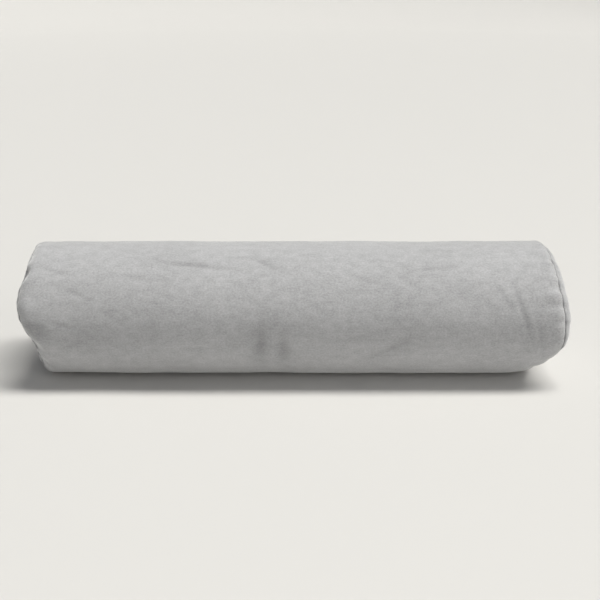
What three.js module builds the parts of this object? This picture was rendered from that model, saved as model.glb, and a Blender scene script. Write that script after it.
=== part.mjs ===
// A cervical roll: a firm neck pillow, a filled cylinder in a sewn cover of brushed grey cloth.
// The cover is one panel closed into a tube and a round panel at each end. The tube panel and the
// filling in it are one solid, and each end panel is a cap of cloth seated over the filling.
// Millimetres, +Z up. The roll lies along X, its front faces -Y, and it rests on a small flat
// spot at Z = 0. The origin is on that spot, under the middle of the roll.
import * as THREE from "three";

// Driving dimensions.
const rollLength = 457; // from the crown of one end to the crown of the other
const rollDiameter = 114;
const endCrown = 2.5; // how far an end panel bulges past the ring where its corner ends
const cornerRadius = 14; // how roundly the filled cover turns from its side to its ends
const quarterTurn = Math.PI / 2;
const leftSeamAngle = (56 * Math.PI) / 180; // how far round that corner the left end's seam runs
const rightSeamAngle = (38 * Math.PI) / 180; // the right one's, as the cover sits a little left
const seamDepth = 1.8; // how far the stitches draw the seam in
const seamReach = 4.5; // how far on each side of the seam the cloth follows it down
const panelThickness = 2.4; // an end panel with its seam allowance
const pieceGap = 0.55; // between an end panel and what it covers
const sink = 2.9; // how far the roll's own weight has pressed its underside in
const flatBlend = 1.1; // how softly that flat spot runs out into the round side

// Fineness of the faces.
const facesAround = 64;
const facesAlong = 60;

const radius = rollDiameter / 2;
const ring = rollLength / 2 - endCrown; // distance from the middle to the end of a corner
const faceRadius = radius - cornerRadius; // the end's nearly flat middle
const axisHeight = radius - sink;
const sharePower = 1.5; // how quickly the side's unevenness dies away towards the axis
const inDegrees = 180 / Math.PI;

// How far the filling stands above or below a true cylinder: slow waves along and around the
// roll. Each has its length along the roll, its waves around it, its height and its start.
const lumps = [
  { length: 310, waves: 2, height: 0.35, start: 0.4 },
  { length: 170, waves: 3, height: 0.3, start: 2.1 },
  { length: 95, waves: 4, height: 0.22, start: 4.4 },
];

// Soft hollows pressed into the side. "along" is from the middle, in millimetres, "around" is in
// degrees from the top towards the front, "long" and "wide" are half-sizes along and around the
// roll, "depth" is how deep it goes and "slant" turns its long side, in degrees.
const hollows = [
  { along: -26, around: 103, long: 6, wide: 17, depth: 1.7, slant: 3 },
  { along: -7, around: 108, long: 6, wide: 14, depth: 1.8, slant: -4 },
  { along: -80, around: 30, long: 34, wide: 5, depth: 1.0, slant: 8 },
  { along: -20, around: 30, long: 14, wide: 6, depth: 0.9, slant: 30 },
  { along: 84, around: 104, long: 22, wide: 7, depth: 1.0, slant: -30 },
  { along: 150, around: 62, long: 24, wide: 14, depth: 0.9, slant: 40 },
  { along: -150, around: 84, long: 40, wide: 26, depth: 0.8, slant: 0 },
  { along: 60, around: 250, long: 46, wide: 24, depth: 1.2, slant: 10 },
  { along: -120, around: 285, long: 36, wide: 18, depth: 1.1, slant: -18 },
];

// How handling has pushed the filling about at the ends. "end" is -1 on the left and 1 on the
// right, "around" and "spread" are in degrees, "push" goes inwards along the roll and "drop"
// towards its axis, and "reach" is how far along the roll they are felt. A minus bulges out.
const knocks = [
  { end: -1, around: 119, spread: 24, push: 2, drop: 4, reach: 28 },
  { end: -1, around: 139, spread: 54, push: 7.5, drop: 0, reach: 36 },
  { end: -1, around: 72, spread: 29, push: -3.2, drop: 0, reach: 20 },
  { end: -1, around: 24, spread: 28, push: 2.6, drop: 0, reach: 20 },
  { end: 1, around: 96, spread: 35, push: -5.2, drop: 0, reach: 22 },
  { end: 1, around: 158, spread: 39, push: 10, drop: 3, reach: 28 },
  { end: 1, around: 1, spread: 27, push: 2.9, drop: 0, reach: 18 },
];

// The shortest way round from one angle to another, in degrees.
function turnBetween(from, to) {
  return ((((to - from) % 360) + 540) % 360) - 180;
}

// Depth of all soft hollows at a place on the side.
function hollowDepth(along, around) {
  let depth = 0;
  for (const hollow of hollows) {
    const slant = hollow.slant / inDegrees;
    const dx = along - hollow.along;
    const dy = (turnBetween(hollow.around, around) / inDegrees) * radius;
    const u = (dx * Math.cos(slant) + dy * Math.sin(slant)) / hollow.long;
    const v = (dy * Math.cos(slant) - dx * Math.sin(slant)) / hollow.wide;
    depth += hollow.depth * Math.exp(-u * u - v * v);
  }
  return depth;
}

// Height of the slow waves at a place on the side.
function lumpHeight(along, around) {
  let height = 0;
  for (const lump of lumps) {
    const phase = (2 * Math.PI * along) / lump.length + lump.start;
    height += lump.height * Math.sin(phase) * Math.cos((lump.waves * around) / inDegrees + phase);
  }
  return height;
}

// Nothing goes below the floor: well above it a height stays as it is, and near it the side
// runs into the flat spot along a short parabola.
function flattened(z) {
  if (z <= -flatBlend) return 0;
  if (z >= flatBlend) return z;
  return (z + flatBlend) ** 2 / (4 * flatBlend);
}

// The part of a knock that is felt at a point. A knock is a round dent that is centred on the rim
// of an end, so this falls with the distance from there, seen along the axis, and inwards.
function knockFelt(knock, point) {
  const turn = knock.around / inDegrees;
  const apart = Math.hypot(point.y + radius * Math.sin(turn), point.z - radius * Math.cos(turn));
  const across = apart / ((radius * knock.spread) / inDegrees);
  const inward = Math.max(0, ring - knock.end * point.x) / knock.reach;
  return Math.exp(-(across ** 4)) / (1 + inward ** 3);
}

// Takes a point of the ideal skin, whose axis is X, to where it lies on the real roll. What lies
// near the axis moves less than what lies on the side.
function settle(point) {
  const fromAxis = Math.hypot(point.y, point.z);
  const around = Math.atan2(-point.y, point.z) * inDegrees;
  const share = (fromAxis / radius) ** sharePower;
  let along = point.x;
  let out = fromAxis + share * (lumpHeight(along, around) - hollowDepth(along, around));
  for (const knock of knocks) {
    const felt = knockFelt(knock, point);
    along -= knock.end * knock.push * felt;
    out -= (knock.drop * felt * fromAxis) / radius;
  }
  const scale = fromAxis > 0 ? out / fromAxis : 1;
  return point.set(along, point.y * scale, flattened(point.z * scale + axisHeight));
}

// How far round its corner an end's seam runs.
function seamAngleOf(end) {
  return end < 0 ? leftSeamAngle : rightSeamAngle;
}

// The skin of one end, round the corner and over the face. "step" runs from 0 where the corner
// starts to 1 where it ends and 2 on the axis, and "turn" is the angle from the top towards the
// front. "end" is -1 on the left and 1 on the right. The cloth dips into the seam.
function endSkin(end, step, turn) {
  const bend = Math.min(step, 1) * quarterTurn;
  const faceShare = Math.max(step - 1, 0);
  const fromSeam = (bend - seamAngleOf(end)) * cornerRadius + faceShare * faceRadius;
  const round = cornerRadius - seamDepth * Math.exp(-((fromSeam / seamReach) ** 2));
  const out = faceRadius * (1 - faceShare) + round * Math.cos(bend);
  const bulge = endCrown * (1 - (1 - faceShare) ** 2) ** 2;
  const along = ring - cornerRadius + round * Math.sin(bend) + bulge;
  return settle(new THREE.Vector3(end * along, -out * Math.sin(turn), out * Math.cos(turn)));
}

// The skin between the two corners, "along" from the middle.
function sideSkin(along, turn) {
  return settle(new THREE.Vector3(along, -radius * Math.sin(turn), radius * Math.cos(turn)));
}

// A point "depth" under the skin of one end, measured square to the settled skin.
function underEnd(end, step, turn, depth) {
  const here = endSkin(end, step, turn);
  if (depth === 0) return here;
  const small = 1e-3;
  const across = endSkin(end, step + small, turn).sub(endSkin(end, step - small, turn));
  const around = endSkin(end, step, turn + small).sub(endSkin(end, step, turn - small));
  const outward = around.cross(across).multiplyScalar(end).normalize();
  if (step === 2) outward.set(end, 0, 0);
  return here.addScaledVector(outward, -depth);
}

// Steps from the start of the corner to the seam, with the seam last.
function cornerSteps(end) {
  const seamStep = seamAngleOf(end) / quarterTurn;
  return [0, 0.34, 0.62, 0.83, 1].map((share) => share * seamStep);
}

// Steps of an end panel, from a little past the seam over the corner and the face to the axis.
function panelSteps(end, pastSeam) {
  const seamStep = seamAngleOf(end) / quarterTurn;
  const overCorner = [0.12, 0.27, 0.45, 0.64, 0.83, 1].map((share) => seamStep + share * (1 - seamStep));
  return [seamStep + pastSeam / (cornerRadius * quarterTurn), ...overCorner, 1.1, 1.28, 1.55, 2];
}

// A closed solid round the X axis. Each row is a function of the turn and gives the point there.
// The rows run from the pole at the left to the pole at the right.
function wound(rows) {
  const profile = rows.map((row, i) => new THREE.Vector2(0, i));
  const geometry = new THREE.LatheGeometry(profile, facesAround);
  const position = geometry.getAttribute("position");
  for (let i = 0; i <= facesAround; i++) {
    const turn = ((i % facesAround) / facesAround) * 2 * Math.PI;
    rows.forEach((row, j) => position.setXYZ(i * rows.length + j, ...row(turn)));
  }
  geometry.computeVertexNormals();
  return geometry;
}

// Rows of one end at one depth under its skin.
function endRows(end, steps, depth) {
  return steps.map((step) => (turn) => underEnd(end, step, turn, depth));
}

// The tube panel with its filling. Past each seam it goes in under the end panel.
function tubePanel() {
  const covered = panelThickness + pieceGap;
  const endRowsOf = (end) => [
    ...endRows(end, cornerSteps(end), 0),
    ...endRows(end, panelSteps(end, 0), covered),
  ];
  const straight = ring - cornerRadius;
  const side = [];
  for (let i = 1; i < facesAlong; i++) {
    const along = straight * ((2 * i) / facesAlong - 1);
    side.push((turn) => sideSkin(along, turn));
  }
  return wound([...endRowsOf(-1).reverse(), ...side, ...endRowsOf(1)]);
}

// An end panel: a cap of cloth from its sewn edge over the corner and the end face.
function endPanel(end) {
  const steps = panelSteps(end, pieceGap);
  const inside = endRows(end, steps, panelThickness).reverse();
  const outside = endRows(end, steps, 0);
  const rows = [...inside, ...outside];
  return wound(end > 0 ? rows : rows.reverse());
}

const cloth = new THREE.MeshStandardMaterial({ color: 0xa3a2a3, roughness: 0.95, metalness: 0 });

const roll = new THREE.Group();
const pieces = [
  { name: "tube_panel", geometry: tubePanel() },
  { name: "end_panel_left", geometry: endPanel(-1) },
  { name: "end_panel_right", geometry: endPanel(1) },
];
for (const piece of pieces) {
  const mesh = new THREE.Mesh(piece.geometry, cloth.clone());
  mesh.name = piece.name;
  roll.add(mesh);
}

// Its unevenness leaves the roll a little off centre, so it is moved back over the origin.
const middle = new THREE.Box3().setFromObject(roll).getCenter(new THREE.Vector3());
roll.position.set(-middle.x, -middle.y, 0);

export default roll;
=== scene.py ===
# %% [markdown]
# # A cervical roll in brushed grey cloth
#
# A cervical roll is a small, firm bolster that lies under the neck. A maker cuts one rectangle
# and two rounds from brushed cloth, sews the rectangle into a tube, sews a round into each end,
# turns the cover right side out and fills it with foam. This lesson dresses the finished model
# of such a roll. Each of its three panels is a fine surface worked out by formula, a cloth
# simulation finds how the filled cover bulges between its seams, and the last cells make the
# nap of the cloth.

import math

import bpy
import numpy as np
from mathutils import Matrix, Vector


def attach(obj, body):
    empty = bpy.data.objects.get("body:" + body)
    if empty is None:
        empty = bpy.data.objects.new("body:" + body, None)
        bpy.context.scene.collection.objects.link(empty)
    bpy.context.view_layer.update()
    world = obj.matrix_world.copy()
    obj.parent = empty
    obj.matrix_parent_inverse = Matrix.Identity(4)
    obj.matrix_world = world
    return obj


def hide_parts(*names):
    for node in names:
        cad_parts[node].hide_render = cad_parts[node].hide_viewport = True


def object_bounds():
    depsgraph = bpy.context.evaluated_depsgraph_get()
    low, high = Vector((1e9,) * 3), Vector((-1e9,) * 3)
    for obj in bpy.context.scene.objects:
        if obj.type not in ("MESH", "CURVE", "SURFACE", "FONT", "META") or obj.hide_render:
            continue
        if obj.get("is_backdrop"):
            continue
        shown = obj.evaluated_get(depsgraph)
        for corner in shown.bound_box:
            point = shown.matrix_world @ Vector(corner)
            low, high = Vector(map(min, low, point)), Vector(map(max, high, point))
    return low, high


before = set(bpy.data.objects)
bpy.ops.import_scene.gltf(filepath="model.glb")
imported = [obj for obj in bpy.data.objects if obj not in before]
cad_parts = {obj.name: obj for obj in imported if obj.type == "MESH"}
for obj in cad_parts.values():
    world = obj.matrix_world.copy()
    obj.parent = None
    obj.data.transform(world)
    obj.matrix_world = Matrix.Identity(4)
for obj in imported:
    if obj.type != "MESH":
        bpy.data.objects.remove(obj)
cad_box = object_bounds()
scene = bpy.context.scene
print("The model has", len(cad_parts), "solids")
print("Its box, in metres:", [[round(v, 4) for v in corner] for corner in cad_box])

# %% [markdown]
# ## Sizes
# The driving sizes are those of the model: an 18 inch roll of 4.5 inches across. Everything else
# on the roll is measured from them. Blender works in metres, so each size in millimetres is
# multiplied by `mm`.

# %% Sizes of the roll
mm = 0.001
roll_length = 457 * mm
roll_diameter = 114 * mm
end_crown = 2.5 * mm
corner_radius = 14 * mm
sink = 2.9 * mm
flat_blend = 1.1 * mm

radius = roll_diameter / 2
axis_height = radius - sink
ring = roll_length / 2 - end_crown
straight = ring - corner_radius
face_radius = radius - corner_radius
quarter_turn = math.pi / 2
print("The side is straight for", round(2 * straight / mm), "mm")
print("Each end's face is", round(2 * face_radius / mm), "mm across")

# %% [markdown]
# ## The camera
# The camera stands in front of the roll and looks down at it from a little above. Its lens is
# worked out from how large the roll is in the picture. The roll lies a little to the left of the
# middle and a little below it, so the camera aims slightly past the roll's axis. Moving the aim
# is better than shifting the lens, because other views reuse the lens.

# %% Camera
picture_size = 600  # in pixels, both ways
axis_in_picture = (294, 307)  # the middle of the roll's axis, in pixels
camera_distance = 850 * mm
camera_elevation = math.radians(22)
focal_pixels = 974


def place_camera():
    """Puts the camera on a line that rises at the camera's elevation from its aim."""
    data = bpy.data.cameras.new("camera")
    data.sensor_width = 36
    data.lens = data.sensor_width * focal_pixels / picture_size
    data.clip_start = 10 * mm
    camera = bpy.data.objects.new("camera", data)
    scene.collection.objects.link(camera)
    pixel = camera_distance / focal_pixels
    right = (picture_size / 2 - axis_in_picture[0]) * pixel
    up = (axis_in_picture[1] - picture_size / 2) * pixel
    sine, cosine = math.sin(camera_elevation), math.cos(camera_elevation)
    aim = np.array([right, up * sine, axis_height + up * cosine])
    back = np.array([0, -cosine, sine])
    camera.location = aim + camera_distance * back
    camera.rotation_euler = (quarter_turn - camera_elevation, 0, 0)
    scene.camera = camera
    return camera


camera = place_camera()
print("Lens:", round(camera.data.lens, 1), "mm, camera at", [round(v, 3) for v in camera.location])

# %% [markdown]
# ## The floor
# The roll lies on a plain pale floor. A flat plane would do under it, but its far edge would show
# in low views. So the floor is a disc that curves up into a low wall far out, as paper does
# behind a product, and no edge shows behind the roll from any side. Its sizes are in metres, and
# so are those of the light.

# %% Floor
floor_radius = 2.6
cove_radius = 1.2
wall_height = 1.7
cove_steps = 24
floor_steps = 96
floor_grey = (0.61, 0.602, 0.588)
floor_roughness = 0.85


def plain_material(name, colour, roughness):
    """A matt material of one colour, for what is not part of the roll."""
    material = bpy.data.materials.new(name)
    material.use_nodes = True
    shader = material.node_tree.nodes["Principled BSDF"]
    shader.inputs["Base Color"].default_value = (*colour, 1)
    shader.inputs["Roughness"].default_value = roughness
    return material


def lay_floor():
    """A disc at height 0, then a quarter of a circle up into a wall, turned about the centre."""
    bend = np.linspace(0, quarter_turn, cove_steps)
    across = np.append(floor_radius + cove_radius * np.sin(bend), floor_radius + cove_radius)
    height = np.append(cove_radius * (1 - np.cos(bend)), wall_height)
    turns = np.linspace(0, 2 * math.pi, floor_steps, endpoint=False)
    flat = [np.multiply.outer(across, wave(turns)) for wave in (np.cos, np.sin)]
    points = np.stack([*flat, np.broadcast_to(height[:, None], flat[0].shape)], axis=-1)
    here = np.arange(len(turns))
    there = (here + 1) % len(turns)
    start = len(turns) * np.arange(len(points) - 1)[:, None]
    further = start + len(turns)
    quads = np.stack([start + here, further + here, further + there, start + there], axis=-1)
    mesh = bpy.data.meshes.new("floor")
    faces = [here.tolist()] + quads.reshape(-1, 4).tolist()
    mesh.from_pydata(points.reshape(-1, 3).tolist(), [], faces)
    mesh.shade_smooth()
    mesh.materials.append(plain_material("pale_floor", floor_grey, floor_roughness))
    floor = bpy.data.objects.new("floor", mesh)
    scene.collection.objects.link(floor)
    floor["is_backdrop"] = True
    return floor


floor = lay_floor()
print("The floor has", len(floor.data.polygons), "faces")

# %% [markdown]
# ## The light
# The light is soft and comes from above and from the right. One large lamp could give it, but a
# lamp near by lights the floor unevenly. So the key is a row of three suns with wide discs, like
# a long lamp that hangs over the roll and to its right: its shadows are soft at the ends of the
# roll and firm along its front. The fill is a large lamp to the right of the camera, and the
# world is an even white that stands for the ceiling.

# %% Light
sky_grey = (0.92, 0.97, 1.06)
sky_strength = 0.175
lamp_colour = (1.0, 0.985, 0.94)
sun_strength = 3.6
sun_disc = math.radians(16)
sun_tilts = (8, 22, 36)  # in degrees from straight above, towards the right
sun_behind = 0.02  # how far behind the roll the suns stand, for a height of about 1
fill_power = 17.0
fill_size = 1.5
fill_place = (1.9, -1.8, 1.35)


def turned_from(x, y, z):
    """Rotation that turns a lamp, which shines down its own axis, to shine from x, y, z to 0."""
    return math.acos(z / math.hypot(x, y, z)), 0, math.atan2(y, x) + quarter_turn


def hang_lamp(name, kind, energy, place):
    """A lamp of some kind at a place, shining at the middle of the floor."""
    data = bpy.data.lights.new(name, kind)
    data.energy = energy
    data.color = lamp_colour
    lamp = bpy.data.objects.new(name, data)
    lamp.location = place
    lamp.rotation_euler = turned_from(*place)
    scene.collection.objects.link(lamp)
    return data


def fill_sky():
    """An even white light from all round."""
    world = bpy.data.worlds.new("bright_room")
    world.use_nodes = True
    background = world.node_tree.nodes["Background"]
    background.inputs["Color"].default_value = (*sky_grey, 1)
    background.inputs["Strength"].default_value = sky_strength
    scene.world = world


fill_sky()
for tilt in sun_tilts:
    lean = math.radians(tilt)
    towards = (math.sin(lean), sun_behind, math.cos(lean))
    hang_lamp(f"key_sun_{tilt}", "SUN", sun_strength / len(sun_tilts), towards).angle = sun_disc
hang_lamp("fill_lamp", "AREA", fill_power, fill_place).size = fill_size
scene.view_settings.view_transform = "Standard"
print(len(sun_tilts), "suns, a fill lamp and the sky are in place")

# %% [markdown]
# ## The ideal skin
# A filled roll is a body of revolution: straight along its side, round at its corners and gently
# domed at its ends. It could be drawn as a curve and spun. Here it is a formula of two numbers
# instead, so that every later step can be one too. `place` is the distance over the skin from the
# middle of the roll, and `turn` is the angle round it, from the top towards the front. The cover
# sits a little to the left on its filling, so the left seam runs further round its corner.

# %% The ideal skin
corner_place = straight + corner_radius * quarter_turn
pole_place = corner_place + face_radius
seam_angle = {-1: math.radians(56), 1: math.radians(38)}
seam_place = {end: straight + corner_radius * angle for end, angle in seam_angle.items()}


def profile(place):
    """Radius, distance along the roll, and outward direction, at a place on the skin.

    The side keeps the full radius. The corner is a quarter of a circle. On the face the radius
    falls evenly to nothing while the dome rises by the crown times (1 - (1 - s)^2)^2, where s is
    the share of the way to the middle of the face.
    """
    past = np.abs(place)
    bend = np.clip((past - straight) / corner_radius, 0, quarter_turn)
    share = np.clip((past - corner_place) / face_radius, 0, 1)
    out = face_radius * (1 - share) + corner_radius * np.cos(bend)
    dome = end_crown * (1 - (1 - share) ** 2) ** 2
    along = np.minimum(past, straight) + corner_radius * np.sin(bend) + dome
    side = np.sign(place)
    return out, side * along, np.cos(bend), side * np.sin(bend)


def from_seam(end, places):
    """Distance over the skin from an end's seam, below 0 on the tube and above it on the panel."""
    return end * places - seam_place[end]


print("From pole to pole over the skin:", round(2 * pole_place, 3), "m")
print("Seams lie at these places:", {end: round(place, 4) for end, place in seam_place.items()})

# %% [markdown]
# ## Hollows and knocks
# Foam gives way where it has been pressed, so no roll stays a true cylinder. Slow waves run along
# and around it, soft hollows dent its side, and its corners are knocked in or bulge. These are in
# the model's solids too, in the same tables. Fine creases of the cloth are added here. Sculpting
# them by hand would be as quick, but a table can be read, changed and shared. Each row is one
# wave, hollow, crease or knock.

# %% Tables of unevenness
# Length along the roll in mm, waves around it, height in mm, start in radians.
lumps = [
    (310, 2, 0.35, 0.4),
    (170, 3, 0.30, 2.1),
    (95, 4, 0.22, 4.4),
]

# Along in mm, around in degrees, half-length in mm, half-width in mm, depth in mm, slant in degrees.
hollows = [
    (-26, 103, 6, 17, 1.7, 3),
    (-7, 108, 6, 14, 1.8, -4),
    (-80, 30, 34, 5, 1.0, 8),
    (-20, 30, 14, 6, 0.9, 30),
    (84, 104, 22, 7, 1.0, -30),
    (150, 62, 24, 14, 0.9, 40),
    (-150, 84, 40, 26, 0.8, 0),
    (60, 250, 46, 24, 1.2, 10),
    (-120, 285, 36, 18, 1.1, -18),
]

# Fine creases, and one small dent at the left end, in the same columns. They are the cloth's
# alone, because they are too small for the solids.
creases = [
    (-214, 89, 9, 9, 1.3, 0),
    (-80, 30, 24, 2.0, 0.55, 8),
    (-45, 21, 12, 1.6, 0.45, -2),
    (-20, 30, 11, 2.0, 0.45, 30),
    (-124, 43, 20, 2.2, 0.35, 6),
    (-75, 104, 17, 1.8, 0.35, -2),
    (-26, 101, 3.2, 12, 0.85, 3),
    (-7, 106, 3.2, 10, 0.85, -4),
    (82, 105, 17, 2.6, 0.50, -30),
    (60, 92, 20, 2.4, 0.30, -14),
    (-192, 38, 13, 1.8, 0.45, 16),
    (-184, 24, 15, 1.7, 0.40, -12),
    (-178, 56, 14, 2.0, 0.35, 24),
    (-186, 84, 12, 2.1, 0.35, 14),
    (-180, 100, 16, 2.2, 0.45, -18),
    (190, 78, 22, 2.4, 0.55, 72),
    (174, 60, 17, 2.0, 0.35, 58),
    (203, 96, 15, 2.0, 0.40, 78),
    (40, 236, 26, 2.2, 0.45, 6),
    (-60, 262, 22, 2.0, 0.40, -10),
    (130, 248, 18, 2.0, 0.40, 14),
    (-150, 236, 20, 2.2, 0.45, -8),
    (20, 300, 30, 2.6, 0.50, 12),
    (-96, 318, 24, 2.2, 0.45, -9),
    (156, 296, 20, 2.2, 0.50, -24),
    (-168, 286, 18, 2.2, 0.50, 26),
    (88, 338, 22, 2.4, 0.40, 6),
    (118, 34, 20, 2.2, 0.40, -8),
    (64, 46, 16, 2.0, 0.35, 18),
]

# End, around and spread in degrees, push inwards and drop towards the axis in mm, reach in mm.
knocks = [
    (-1, 119, 24, 2, 4, 28),
    (-1, 139, 54, 7.5, 0, 36),
    (-1, 72, 29, -3.2, 0, 20),
    (-1, 24, 28, 2.6, 0, 20),
    (1, 96, 35, -5.2, 0, 22),
    (1, 158, 39, 10, 3, 28),
    (1, 1, 27, 2.9, 0, 18),
]
print(len(hollows), "hollows,", len(creases), "creases and", len(knocks), "knocks")

# %% [markdown]
# ## How the tables move the skin
# The slow waves run on all over the side. A hollow, a crease or a knock is a smooth dent or bulge
# that fades to nothing all round it, so rows of a table can overlap without an edge between them.
# A displacement modifier with a painted map would do that too, but the same formulas also shape
# the model's solids, and so the two agree. Hollows and creases lower the skin towards the axis,
# and a knock pushes it along the roll too. Then the roll's own weight presses its underside flat
# where it lies on the floor.

# %% Bells, waves and knocks
share_power = 1.5  # how quickly the side's unevenness dies away towards the axis


def turn_between(start, turn):
    """The shortest way round from one angle to another, in radians."""
    return (turn - start + math.pi) % (2 * math.pi) - math.pi


def bells(table, along, turn):
    """Sum over a table's rows of depth times exp(-u^2 - v^2), in the row's own slanted axes."""
    total = np.zeros(np.broadcast(along, turn).shape)
    for middle, around, long, wide, depth, slant in table:
        lean = math.radians(slant)
        x = along - middle * mm
        y = turn_between(math.radians(around), turn) * radius
        u = (x * math.cos(lean) + y * math.sin(lean)) / (long * mm)
        v = (y * math.cos(lean) - x * math.sin(lean)) / (wide * mm)
        total += depth * mm * np.exp(-u * u - v * v)
    return total


def slow_waves(along, turn):
    """Sum of height times sin(phase) times cos(waves x turn + phase), with phase growing along."""
    total = np.zeros(np.broadcast(along, turn).shape)
    for length, waves, height, start in lumps:
        phase = 2 * math.pi * along / (length * mm) + start
        total += height * mm * np.sin(phase) * np.cos(waves * turn + phase)
    return total


def settle(out, along, turn):
    """Takes the skin from the ideal roll to the one that lies on the floor.

    A knock is a round dent or bulge, centred on the rim of an end. It moves the skin by its push
    and drop, times exp(-t^4) / (1 + w^3). Here t is the distance from its centre, seen along
    the axis, over the knock's own size, and w is the distance inwards from the end over its
    reach. The drop also fades towards the axis. Then the roll is set on the floor, where its
    underside runs into a flat spot along a short parabola.
    """
    front, top = out * np.sin(turn), out * np.cos(turn)
    shift, sag = np.zeros(out.shape), np.zeros(out.shape)
    for end, around, spread, push, drop, reach in knocks:
        centre = math.radians(around)
        apart = np.hypot(front - radius * math.sin(centre), top - radius * math.cos(centre))
        inward = np.maximum(0, ring - end * along) / (reach * mm)
        felt = np.exp(-((apart / (radius * math.radians(spread))) ** 4)) / (1 + inward**3)
        shift -= end * push * mm * felt
        sag += drop * mm * felt * out / radius
    out = out - sag
    z = out * np.cos(turn) + axis_height
    pressed = (np.maximum(z + flat_blend, 0)) ** 2 / (4 * flat_blend)
    z = np.where(z < flat_blend, pressed, z)
    return np.stack([along + shift, -out * np.sin(turn), z], axis=-1)


spots = np.linspace(-straight, straight, 200)[:, None]
deepest = bells(hollows, spots, np.radians(np.arange(360))).max()
print("The deepest hollow is", round(deepest / mm, 1), "mm deep")

# %% [markdown]
# ## Nets from pole to pole
# Every panel of this roll is a closed skin that runs from one pole on the axis to another, so one
# function can make them all. It takes a grid of points and joins neighbours with quads. It also
# writes two things that the cloth's finish needs: a UV map in metres, so that fibres run along
# the cloth at their real size, and how hard a seam or a crease pinches the cloth at each point,
# which also sets the shade that is painted into seams and creases.
# The columns start at the tube panel's own closing seam, where the run of real cloth starts too.

# %% Nets from pole to pole
closing_turn = math.radians(230)  # where the closing seam runs, low at the back


def pole_to_pole(grid):
    """A grid's values in the order of the mesh's points: pole, every inner row, pole."""
    tail = grid.shape[2:]
    return np.concatenate([grid[0, :1], grid[1:-1].reshape(-1, *tail), grid[-1, :1]])


def wound(name, rows, cloth=None, pinch=None):
    """A closed mesh from pole to pole.

    rows[i, j] is the point of row i at turn j, and the first and the last row are single points.
    Between two rows each cell is a quad, and round the two poles it is a triangle. cloth has one
    column more than rows, because the cloth's far edge meets its near one at the closing seam.
    """
    count, around = rows.shape[:2]
    here = np.arange(around)
    there = (here + 1) % around
    start = 1 + np.arange(count - 3)[:, None] * around
    further = start + around
    quads = np.stack([start + here, start + there, further + there, further + here], axis=-1)
    last = 1 + (count - 3) * around
    pole = 1 + (count - 2) * around
    first_cap = np.column_stack([0 * here, 1 + there, 1 + here])
    last_cap = np.column_stack([0 * here + pole, last + here, last + there])
    mesh = bpy.data.meshes.new(name)
    faces = quads.reshape(-1, 4).tolist() + first_cap.tolist() + last_cap.tolist()
    mesh.from_pydata(pole_to_pole(rows).tolist(), [], faces)
    mesh.shade_smooth()
    if cloth is not None:
        near, far = cloth[:, :-1], cloth[:, 1:]
        cells = np.stack([near[1:-2], far[1:-2], far[2:-1], near[2:-1]], axis=2)
        first = np.stack([near[0], far[1], near[1]], axis=1)
        final = np.stack([near[-1], near[-2], far[-2]], axis=1)
        flat = np.concatenate([cells.ravel(), first.ravel(), final.ravel()])
        mesh.uv_layers.new(name="cloth").data.foreach_set("uv", flat)
    # How hard seams and creases pinch the cloth at each point, which is also shade painted into
    # them.
    if pinch is not None:
        pinch_and_shade_layer = mesh.attributes.new("pinch", "FLOAT", "POINT")
        pinch_and_shade_layer.data.foreach_set("value", pole_to_pole(pinch))
    piece = bpy.data.objects.new(name, mesh)
    scene.collection.objects.link(piece)
    return piece


def mesh_points(mesh):
    """A mesh's vertices as an array of points."""
    points = np.empty(len(mesh.vertices) * 3)
    mesh.vertices.foreach_get("co", points)
    return points.reshape(-1, 3)


print("The closing seam runs", round(math.degrees(closing_turn)), "degrees round from the top")

# %% [markdown]
# ## How the filled cover bulges
# A cover is sewn along lines that do not stretch, so it bulges between its seams, puckers beside
# them and pulls into long soft folds from a corner that has been knocked in. That is hard to draw
# and easy to simulate. A coarse net of the cover starts a little smaller than the roll. Its end
# seams shrink, as sewn lines do, its cloth is cut a little slack, and air pressure pushes it out,
# while a weak hold to where it started stands for the foam. Only the unevenness is kept: how far
# each point ends above or below the average of its row, as a height over `place` and `turn`.

# %% Simulate the cover
net_rows = 112
net_columns = 72
start_inset = 2 * mm
seam_shrink = 0.03
cloth_slack = 0.008
foam_hold = 0.1
air_pressure = 3.0
last_frame = 20
height_cap = 1.2 * mm
net_places = np.linspace(-pole_place, pole_place, net_rows + 1)
net_turns = closing_turn + 2 * math.pi * np.arange(net_columns) / net_columns


def slack_cloth(net, seams):
    """A cloth modifier for a filled cover, which shrinks along its seams."""
    sewn = net.vertex_groups.new(name="sewn")
    sewn.add(np.flatnonzero(seams).tolist(), 1.0, "REPLACE")
    foam = net.vertex_groups.new(name="foam")
    foam.add(list(range(len(net.data.vertices))), foam_hold, "REPLACE")
    cloth = net.modifiers.new("cover", "CLOTH")
    settings = cloth.settings
    settings.quality = 6
    settings.mass = 0.25
    settings.tension_stiffness = 20
    settings.compression_stiffness = 20
    settings.shear_stiffness = 8
    settings.bending_stiffness = 8
    settings.use_pressure = True
    settings.uniform_pressure_force = air_pressure
    settings.vertex_group_shrink = sewn.name
    settings.shrink_min = -cloth_slack
    settings.shrink_max = seam_shrink
    settings.vertex_group_mass = foam.name
    settings.pin_stiffness = 1
    settings.effector_weights.gravity = 0
    cloth.collision_settings.use_collision = False
    cloth.point_cache.frame_start = 1
    cloth.point_cache.frame_end = last_frame


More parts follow.
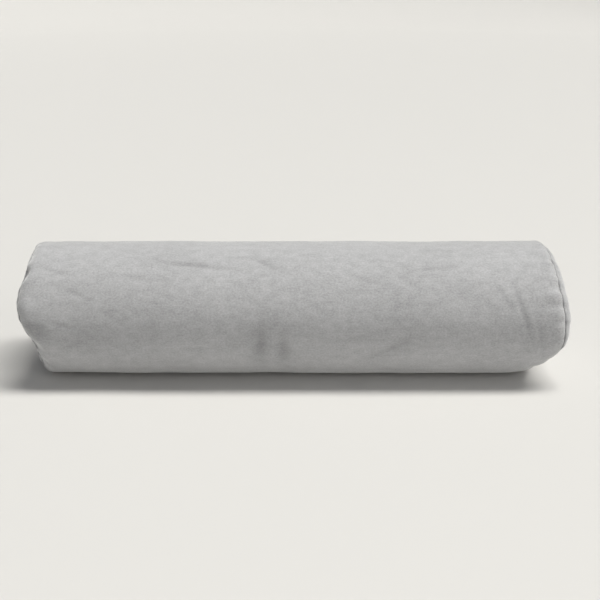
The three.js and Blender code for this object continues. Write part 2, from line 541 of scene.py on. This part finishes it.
def simulated_heights():
    """Runs the cover to its last frame and returns its unevenness on the coarse net."""
    place, turn = np.meshgrid(net_places, net_turns, indexing="ij")
    out, along, lift, lean = profile(place)
    start = settle(np.maximum(out - start_inset * lift, 0), along - start_inset * lean, turn)
    net = wound("cover_net", start)
    to_seam = np.minimum(np.abs(from_seam(-1, place)), np.abs(from_seam(1, place)))
    half_row = pole_place / net_rows
    slack_cloth(net, pole_to_pole(to_seam < half_row))
    for step in range(1, last_frame + 1):
        scene.frame_set(step)
    evaluated = net.evaluated_get(bpy.context.evaluated_depsgraph_get())
    moved = mesh_points(evaluated.data) - pole_to_pole(start)
    scene.frame_set(1)
    bpy.data.objects.remove(net)
    field = np.zeros(start.shape)
    field[1:-1] = moved[1:-1].reshape(net_rows - 1, net_columns, 3)
    outward = np.stack([lean, -lift * np.sin(turn), lift * np.cos(turn)], axis=-1)
    heights = (field * outward).sum(axis=-1)
    heights -= heights.mean(axis=1, keepdims=True)
    return height_cap * np.tanh(heights / height_cap)


cover_heights = simulated_heights()
lowest, highest = cover_heights.min() / mm, cover_heights.max() / mm
print("Cover heights run from", round(lowest, 2), "to", round(highest, 2), "mm")

# %% [markdown]
# ## From the coarse net to the fine skin
# The net's heights have to be read between its points. Straight lines between them would show as
# facets under a low light, so a cubic curve runs through each four neighbours instead, once along
# the rows and once round the columns.

# %% Read heights between the net's points
def curve_through(values, spots, closed):
    """Values at fractional indices along the first axis, on Catmull-Rom curves.

    The weights of the four neighbours are cubics in f, the fraction past the second one.
    """
    whole = np.floor(spots).astype(int)
    f = spots - whole
    weights = [
        (-f + 2 * f**2 - f**3) / 2,
        (2 - 5 * f**2 + 3 * f**3) / 2,
        (f + 4 * f**2 - 3 * f**3) / 2,
        (-(f**2) + f**3) / 2,
    ]
    total = 0
    for step, weight in enumerate(weights):
        index = whole + step - 1
        index = index % len(values) if closed else np.clip(index, 0, len(values) - 1)
        total = total + weight[:, None] * values[index]
    return total


def cover_height(places, turns):
    """The simulated height at every crossing of some places and turns."""
    rows = (places + pole_place) / (2 * pole_place) * net_rows
    columns = ((turns - closing_turn) % (2 * math.pi)) / (2 * math.pi) * net_columns
    along = curve_through(cover_heights, rows, closed=False)
    return curve_through(along.T, columns, closed=True).T


missed = np.abs(cover_height(net_places, net_turns) - cover_heights).max() / mm
print("At the net's own points the curves are off by", round(missed, 6), "mm")

# %% [markdown]
# ## Seams
# The seams are plain ones, sewn inside out, so no stitch shows. What shows is a narrow crevice
# where two rolled edges meet, a wider dip that the stitches pull round it, and puckers, because
# the longer edge was eased onto the shorter one. A voxel remesh or a bevel would round such a
# crevice away. As formulas of the distance from the seam they stay crisp.

# %% Grooves and puckers
end_seam = {"dip": 1.0 * mm, "dip_reach": 5.0 * mm, "edge": 1.7 * mm}
closing_seam = {"dip": 0.6 * mm, "dip_reach": 4.0 * mm, "edge": 1.2 * mm}
wide_puckers = {"height": 0.55 * mm, "reach": 11 * mm}
fine_puckers = {"height": 0.30 * mm, "reach": 4.5 * mm}
pucker_start = 1.5 * mm
panel_share = 0.55  # how high an end panel's puckers are beside the tube's
weakest_wave = 0.3
random = np.random.default_rng(18)


def ripple(fewest, most):
    """A random wave round a circle, about one high: a sum of cosines of whole wave counts.

    Each cosine has a random start and size, and the sizes are divided by the root of a quarter
    of their number.
    """
    counts = np.arange(fewest, most + 1)
    sizes = random.uniform(weakest_wave, 1, len(counts)) / math.sqrt(len(counts) / 4)
    starts = random.uniform(0, 2 * math.pi, len(counts))
    return lambda angle: (sizes * np.cos(np.multiply.outer(angle, counts) + starts)).sum(axis=-1)


# Fewest and most waves of the wide puckers, and of the fine ones, along each seam.
tube_ripples = {end: (ripple(14, 26), ripple(34, 60)) for end in (-1, 1)}
panel_ripples = {end: (ripple(14, 24), ripple(30, 52)) for end in (-1, 1)}
closing_ripples = (ripple(16, 30), ripple(36, 60))


def groove(distance, seam):
    """Depth of a seam: a bell for the dip, and a quarter circle for each rolled edge.

    With s the distance over the edge's radius, the edge falls radius * (1 - sqrt(1 - (1 - s)^2)).
    """
    inside = 1 - np.minimum(np.abs(distance) / seam["edge"], 1)
    rolled = seam["edge"] * (1 - np.sqrt(1 - inside**2))
    return seam["dip"] * np.exp(-((distance / seam["dip_reach"]) ** 2)) + rolled


def puckers(distance, angle, ripples):
    """Ripples that start beside the seam and die away from it, the fine ones sooner."""
    away = np.abs(distance)
    total = 0
    for kind, wave in zip((wide_puckers, fine_puckers), ripples):
        total = total + kind["height"] * wave(angle) * np.exp(-away / kind["reach"])
    return total * (1 - np.exp(-away / pucker_start))


def tube_relief(places, turns):
    """Height that its three seams give the tube panel: puckers less grooves."""
    across = turn_between(closing_turn, turns)[None, :] * radius
    run = math.pi * places[:, None] / pole_place
    total = puckers(across, run, closing_ripples) - groove(across, closing_seam)
    for end in (-1, 1):
        distance = from_seam(end, places)[:, None]
        total = total + puckers(distance, turns[None, :], tube_ripples[end])
        total = total - groove(distance, end_seam)
    return total


def panel_relief(end, places, turns):
    """Height that its seam gives an end panel, whose puckers are lower than the tube's."""
    distance = from_seam(end, places)[:, None]
    low = panel_share * puckers(distance, turns[None, :], panel_ripples[end])
    return low - groove(distance, end_seam)


print("The end seams are", round((end_seam["dip"] + end_seam["edge"]) / mm, 1), "mm deep")

# %% [markdown]
# ## The skin
# Now the parts of the shape meet. The ideal skin takes the slow waves, the hollows, the creases
# and the simulated heights, and is settled on the floor. The seams come last and move it along its
# own outward direction, which is the cross product of the way it runs along and the way it runs
# round. The same direction gives a panel its thickness.

# %% The skin and its outward direction
tiny = 1e-12  # keeps a division by a length of 0 from failing


def skin(places, turns):
    """Points of the skin without its seams, at every crossing of some places and turns."""
    place, turn = np.meshgrid(places, turns, indexing="ij")
    out, along, lift, lean = profile(place)
    height = cover_height(places, turns) * (out / radius) ** 2
    uneven = slow_waves(along, turn) - bells(hollows, along, turn) - bells(creases, along, turn)
    out = out + (out / radius) ** share_power * uneven + lift * height
    return settle(out, along + lean * height, turn) - middle_of_box


def outward(points, places):
    """Unit vectors square to a grid of points: (along x around), turned to point out."""
    along = np.gradient(points, places, axis=0)
    around = np.roll(points, -1, axis=1) - np.roll(points, 1, axis=1)
    normal = np.cross(around, along)
    length = np.linalg.norm(normal, axis=-1, keepdims=True)
    pole = np.array([1.0, 0, 0]) * np.sign(places)[:, None, None]
    return np.where(length > 0, normal / np.maximum(length, tiny), pole)


def lifted(points, normal, height):
    """Points moved out by a height, and kept on the floor."""
    moved = points + normal * height[..., None]
    moved[..., 2] = np.maximum(moved[..., 2], 0)
    return moved


def middle_of_skin():
    """Middle of the uneven skin's box along x and y, which the model is centred on.

    It is measured on 300 rows of points, 2 degrees apart.
    """
    places = np.linspace(-pole_place, pole_place, 300)
    points = skin(places, np.radians(np.arange(0, 360, 2)))
    middle = (points.max(axis=(0, 1)) + points.min(axis=(0, 1))) / 2
    return middle * [1, 1, 0]


middle_of_box = np.zeros(3)
middle_of_box = middle_of_skin()
print("The skin's middle is moved by", (middle_of_box / mm).round(2), "mm to stand over the origin")

# %% [markdown]
# ## What an end panel covers
# Past an end seam the filled tube goes on under the end panel, and the end panel has an inner
# face over it. A Solidify modifier could make such inner faces, but the two panels would then
# cross where they meet at the seam. So both are the same skin, moved in: by the thickness of the
# panel for its inner face, and by a small gap more for the filling. At the seam both go down
# further, to stay under its crevice.

# %% Under an end panel
panel_thickness = 1.6 * mm
hidden_gap = 0.4 * mm
seam_drop = end_seam["dip"] + end_seam["edge"]


def under(end, steps, turns, depth):
    """The skin from an end's seam to its pole, moved in by a depth and by a bell at the seam.

    steps are distances over the skin from the seam, and the pole is added to them.
    """
    places = end * np.append(seam_place[end] + steps, pole_place)
    points = skin(places, turns)
    bell = np.exp(-((from_seam(end, places) / end_seam["dip_reach"]) ** 2))
    height = np.broadcast_to(-(depth + seam_drop * bell)[:, None], points.shape[:2])
    return places, lifted(points, outward(points, places), height)


deepest_filling = seam_drop + panel_thickness + hidden_gap
print("At an end seam the filling lies", round(deepest_filling / mm, 1), "mm under the skin")

# %% [markdown]
# ## Where the nap is pressed flat and shade is painted
# The nap of brushed cloth stands up where nothing touches it and is pressed flat in a seam or a
# crease, which makes the cloth look darker there. The same darkening also paints in the shade that
# falls into seams, hollows and creases. It could be painted on, but the formulas know how near each
# point is to a seam and how deep in a crease it lies, so they say how hard the cloth is pinched and
# how much shade is painted there. The cloth's finish reads it at every point.

# %% How hard the cloth is pinched, and its painted shade
# How far and how strongly seams, hollows and creases pinch the cloth and paint shade into it.
pinch_and_shade_reach = 2 * mm
hollow_crush_and_shade_depth = 3 * mm
crease_crush_and_shade_depth = 0.9 * mm
closing_pinch_and_shade = 0.7
crease_pinch_and_shade = 0.8


def seam_pinch_and_shade(distance):
    """How hard a seam pinches the cloth and how much shade is painted beside it, from 1 on the seam
    to 0 away from it.
    """
    return np.exp(-np.abs(distance) / pinch_and_shade_reach)


def crease_crush_and_shade(places, turns):
    """How hard hollows and creases have crushed the nap, which also paints shade in them: their
    depth, with its peaks capped.
    """
    place, turn = np.meshgrid(places, turns, indexing="ij")
    along = profile(place)[1]
    hollow_crush_and_shade = bells(hollows, along, turn) / hollow_crush_and_shade_depth
    return np.tanh(hollow_crush_and_shade + bells(creases, along, turn) / crease_crush_and_shade_depth)


def tube_pinch_and_shade(places, turns):
    """The strongest of the pinches, which are also painted shade, at the end seams, at the closing
    seam and in creases.
    """
    ends = np.maximum(seam_pinch_and_shade(from_seam(-1, places)), seam_pinch_and_shade(from_seam(1, places)))
    closing = closing_pinch_and_shade * seam_pinch_and_shade(turn_between(closing_turn, turns) * radius)
    return np.maximum(np.maximum(ends[:, None], closing), crease_pinch_and_shade * crease_crush_and_shade(places, turns))


print("Half as hard at", round(pinch_and_shade_reach * math.log(2) / mm, 1), "mm from a seam as on it")

# %% [markdown]
# ## The tube panel
# The tube panel is one long rectangle of cloth, closed low at the back, and it holds the filling.
# A cylinder cut with loops would need its edges moved by hand. Here its rows crowd together
# beside the end seams, where the cloth bends most, and its columns do so beside the closing seam.
# Past the end seams it goes in under the end panels as plain filling, so the piece is one closed
# body, as the model's is, and nothing shows through a seam.

# %% Build the tube panel
crowded = np.array([0.15, 0.35, 0.65, 1.0, 1.4, 1.9, 2.6, 3.6, 4.8, 6.2]) * mm
first_plain = 7.6 * mm
side_rows = 278
side_columns = 268
hidden_steps = np.array([-0.1, 3, 6, 9, 12.5, 20, 32, 44]) * mm


def tube_turns():
    """Turns round the tube, crowded at the closing seam, which the first one lies on."""
    girth = 2 * math.pi * radius
    beside = crowded[1:8:2]
    plain = np.linspace(first_plain / 2, girth - first_plain / 2, side_columns)
    return closing_turn + np.concatenate([[0], beside, plain, girth - beside[::-1]]) / radius


def tube_panel():
    """The visible side between its seams, with plain filling from each seam to its pole."""
    turns = tube_turns()
    first, last = -seam_place[-1], seam_place[1]
    plain = np.linspace(first + first_plain, last - first_plain, side_rows)
    places = np.concatenate([first + crowded, plain, last - crowded[::-1]])
    points = skin(places, turns)
    side = lifted(points, outward(points, places), tube_relief(places, turns))
    hidden = panel_thickness + hidden_gap
    left_places, left = under(-1, hidden_steps, turns, hidden)
    right_places, right = under(1, hidden_steps, turns, hidden)
    all_places = np.concatenate([left_places[::-1], places, right_places])
    flat_turns = np.append(turns, closing_turn + 2 * math.pi) - closing_turn
    cloth = np.stack(np.meshgrid(all_places, flat_turns * radius, indexing="ij"), axis=-1)
    rows = np.concatenate([left[::-1], side, right])
    return wound("tube_panel_cloth", rows, cloth, tube_pinch_and_shade(all_places, turns))


tube = tube_panel()
print("The tube panel has", len(tube.data.polygons), "faces")

# %% [markdown]
# ## Measure a piece
# A maker lays a tape along a finished roll and round it. A mesh can be looked over by eye too,
# but one that is inside out is easy to miss, because it renders much the same. Its volume shows
# it: a closed mesh whose faces point inwards has a volume below 0.

# %% Measure a piece
def measured(piece):
    """Prints a piece's size and checks by its volume that its faces point out.

    A closed mesh's volume is the sum of a . (b x c) / 6 over its triangles a, b, c.
    """
    mesh = piece.data
    mesh.calc_loop_triangles()
    points = mesh_points(mesh)
    corners = np.empty(len(mesh.loop_triangles) * 3, int)
    mesh.loop_triangles.foreach_get("vertices", corners)
    a, b, c = points[corners.reshape(-1, 3)].transpose(1, 0, 2)
    volume = (a * np.cross(b, c)).sum() / 6
    assert volume > 0, piece.name + " is inside out"
    size = ((points.max(axis=0) - points.min(axis=0)) / mm).round(1)
    print(piece.name, len(a), "triangles,", size, "mm,", round(volume * 1000, 3), "litres")


measured(tube)

# %% [markdown]
# ## The end panels
# Each end panel is a round of cloth eased into the tube's end. Being held all round, it turns over
# the corner and lies nearly flat over the filling, with its puckers short and low. One sheet would
# do for a picture. But this is a cap with two sheets, an outer and an inner one, joined at the
# sewn edge, so it is a closed body with a real thickness.

# %% Build the end panels
panel_rows = 46
panel_columns = 256
inner_steps = np.array([0.15, 3, 6, 9, 12.5, 20, 32, 44]) * mm


def end_panel(name, end):
    """Rows run over the inner sheet from its pole to the sewn edge, and back over the outer one."""
    turns = closing_turn + 2 * math.pi * np.arange(panel_columns) / panel_columns
    plain = np.linspace(seam_place[end] + first_plain, pole_place, panel_rows)
    places = end * np.concatenate([seam_place[end] + crowded, plain])
    points = skin(places, turns)
    outer = lifted(points, outward(points, places), panel_relief(end, places, turns))
    inner_places, inner = under(end, inner_steps, turns, panel_thickness)
    rows = np.concatenate([inner[::-1], outer])
    all_places = np.concatenate([inner_places[::-1], places])
    flat_turns = np.append(turns, closing_turn + 2 * math.pi)[None, :]
    to_pole = (pole_place - np.abs(all_places))[:, None]
    cloth = np.stack([to_pole * np.cos(flat_turns), end * to_pole * np.sin(flat_turns)], axis=-1)
    pinch = np.broadcast_to(seam_pinch_and_shade(from_seam(end, all_places))[:, None], rows.shape[:2])
    if end < 0:
        rows, cloth, pinch = rows[::-1], cloth[::-1], pinch[::-1]
    return wound(name, rows, cloth, pinch)


left_end = end_panel("end_panel_left_cloth", -1)
right_end = end_panel("end_panel_right_cloth", 1)
measured(left_end)
measured(right_end)

# %% [markdown]
# ## Brushed cloth
# Brushed cloth is woven or knitted first, and then wire rollers raise a short nap from it. From
# near, the nap is a fine felt of fibres that lie mostly along the roll. From further off it shows
# as a faint grain, and as softly lighter and darker areas where it has been stroked one way or
# the other. Each of these is one noise at its own scale. The fine ones read the cloth's UV map in
# metres, so they follow the cloth round the corners, and the broad one reads the object's own
# coordinates, so it passes from panel to panel. Where a seam or a crease presses the nap flat the
# cloth is darker, which each point's pinch says, and this darkening is also shade painted into the
# seams, hollows and creases. Light that grazes the nap catches the fibre tips, which is what the
# shader's sheen is for.

# %% The cloth's figures
cloth_colour = (0.385, 0.387, 0.398)

# How wide each noise's features are, how many times longer they run along the cloth, how finely
# (detail) and how strongly (rough) they break up, how much they lighten and darken the cloth
# (shade), and how far they raise it in mm (rise).
strokes = {"size": 55 * mm, "stretch": 1.6, "detail": 2, "rough": 0.5, "shade": 0.16}
patches = {"size": 6 * mm, "stretch": 1.5, "detail": 3, "rough": 0.5, "shade": 0.22, "rise": 0.20}
grains = {"size": 1.4 * mm, "stretch": 1.3, "detail": 4, "rough": 0.6, "shade": 0.42, "rise": 0.10}
fibres = {"size": 0.22 * mm, "stretch": 4, "detail": 2, "rough": 0.5, "shade": 0.30, "rise": 0.05}
# How much darker the cloth is where it is pinched: nap pressed flat, and shade painted into seams
# and creases.
pinch_and_shade_strength = 0.35
least_roughness = 0.84
grain_roughness = 0.12
gloss = {"Specular IOR Level": 0.25, "Sheen Weight": 0.8, "Sheen Roughness": 0.5}
fibre_length = fibres["size"] * fibres["stretch"]
print("A fibre is about", round(fibre_length / mm, 2), "mm long")

# %% [markdown]
# ## Nodes by hand
# A material is a tree of nodes that pass numbers on to the shader. It could be wired up in the
# shader editor, but a tree that is written down can be read and changed. Three short helpers do
# it: one adds any node, one adds a noise whose features have a real size, and one adds a sum.

# %% Helpers for nodes
def add_node(tree, kind, inputs, **settings):
    """A node with its settings made. Its inputs are values, or sockets to link from."""
    made = tree.nodes.new(kind)
    for key, value in settings.items():
        setattr(made, key, value)
    for key, value in inputs.items():
        if isinstance(value, bpy.types.NodeSocket):
            tree.links.new(value, made.inputs[key])
        else:
            made.inputs[key].default_value = value
    return made


def noise(tree, where, look):
    """Noise from 0 to 1, whose features have a look's size and run longer along the first axis."""
    size = look["size"]
    scale = (1 / (size * look["stretch"]), 1 / size, 1 / size)
    placed = add_node(tree, "ShaderNodeMapping", {"Vector": where, "Scale": scale})
    inputs = {"Vector": placed.outputs["Vector"], "Scale": 1.0}
    inputs |= {"Detail": look["detail"], "Roughness": look["rough"]}
    return add_node(tree, "ShaderNodeTexNoise", inputs).outputs["Fac"]


def maths(tree, operation, first, second, third=None):
    """One sum of a Math node."""
    made = add_node(tree, "ShaderNodeMath", {0: first, 1: second}, operation=operation)
    if third is not None:
        made.inputs[2].default_value = third
    return made.outputs["Value"]


print("Helpers for nodes:", ", ".join(helper.__name__ for helper in (add_node, noise, maths)))

# %% [markdown]
# ## The cloth's material
# The noises are added up to the cloth's brightness, which scales its one grey, and three of them
# also raise the nap. A picture of real cloth could be wrapped round the roll instead, but it would
# have to be repeated along it, and it would blur up close. Noise does neither.

# %% The cloth's material
def brushed_cloth():
    """Grey cloth whose brightness is 1 plus each noise's departure from its middle."""
    material = bpy.data.materials.new("brushed_cloth")
    material.use_nodes = True
    tree = material.node_tree
    shader = tree.nodes["Principled BSDF"]
    cloth = add_node(tree, "ShaderNodeUVMap", {}, uv_map="cloth").outputs["UV"]
    body = add_node(tree, "ShaderNodeTexCoord", {}).outputs["Object"]
    pinch = add_node(tree, "ShaderNodeAttribute", {}, attribute_name="pinch").outputs["Fac"]

    stroke = noise(tree, body, strokes)
    patch = noise(tree, cloth, patches)
    grain = noise(tree, cloth, grains)
    fibre = noise(tree, cloth, fibres)

    light = 1.0
    for look, pattern in ((strokes, stroke), (patches, patch), (grains, grain), (fibres, fibre)):
        centred = maths(tree, "MULTIPLY_ADD", pattern, 2 * look["shade"], -look["shade"])
        light = maths(tree, "ADD", centred, light)
    # Darker where the cloth is pinched, partly nap pressed flat and partly shade painted into seams
    # and creases.
    pinch_and_shade_factor = maths(tree, "MULTIPLY_ADD", pinch, -pinch_and_shade_strength, 1.0)
    light = maths(tree, "MULTIPLY", light, pinch_and_shade_factor)
    scaled = {0: cloth_colour, "Scale": light}
    colour = add_node(tree, "ShaderNodeVectorMath", scaled, operation="SCALE")
    tree.links.new(colour.outputs["Vector"], shader.inputs["Base Color"])

    nap = maths(tree, "MULTIPLY", grain, grains["rise"])
    nap = maths(tree, "ADD", nap, maths(tree, "MULTIPLY", fibre, fibres["rise"]))
    nap = maths(tree, "ADD", nap, maths(tree, "MULTIPLY", patch, patches["rise"]))
    bump = add_node(tree, "ShaderNodeBump", {"Height": nap, "Strength": 1.0, "Distance": mm})
    tree.links.new(bump.outputs["Normal"], shader.inputs["Normal"])
    roughness = maths(tree, "MULTIPLY_ADD", grain, grain_roughness, least_roughness)
    tree.links.new(roughness, shader.inputs["Roughness"])
    for name, value in gloss.items():
        shader.inputs[name].default_value = value
    return material


finish = brushed_cloth()
for piece in (tube, left_end, right_end):
    piece.data.materials.append(finish)
print("Brushed cloth has", len(finish.node_tree.nodes), "nodes")

# %% [markdown]
# ## Put the panels on the roll's body
# Each panel stands for the model's solid of the same name, which is hidden, and rides on the
# roll's one body. The roll is stuffed firmly, so its tube is nearly tight.

# %% Ride and replace
stands_for = (
    (tube, "tube_panel", 0.95),
    (left_end, "end_panel_left", 0.9),
    (right_end, "end_panel_right", 0.9),
)
for piece, node, fill in stands_for:
    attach(piece, "root")
    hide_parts(node)

boxes = {"cad": cad_box, "visual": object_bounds()}
plain = {name: [[float(v) for v in corner] for corner in box] for name, box in boxes.items()}
for name, (low, high) in plain.items():
    print(name, "model:", [round((b - a) / mm, 1) for a, b in zip(low, high)], "mm")
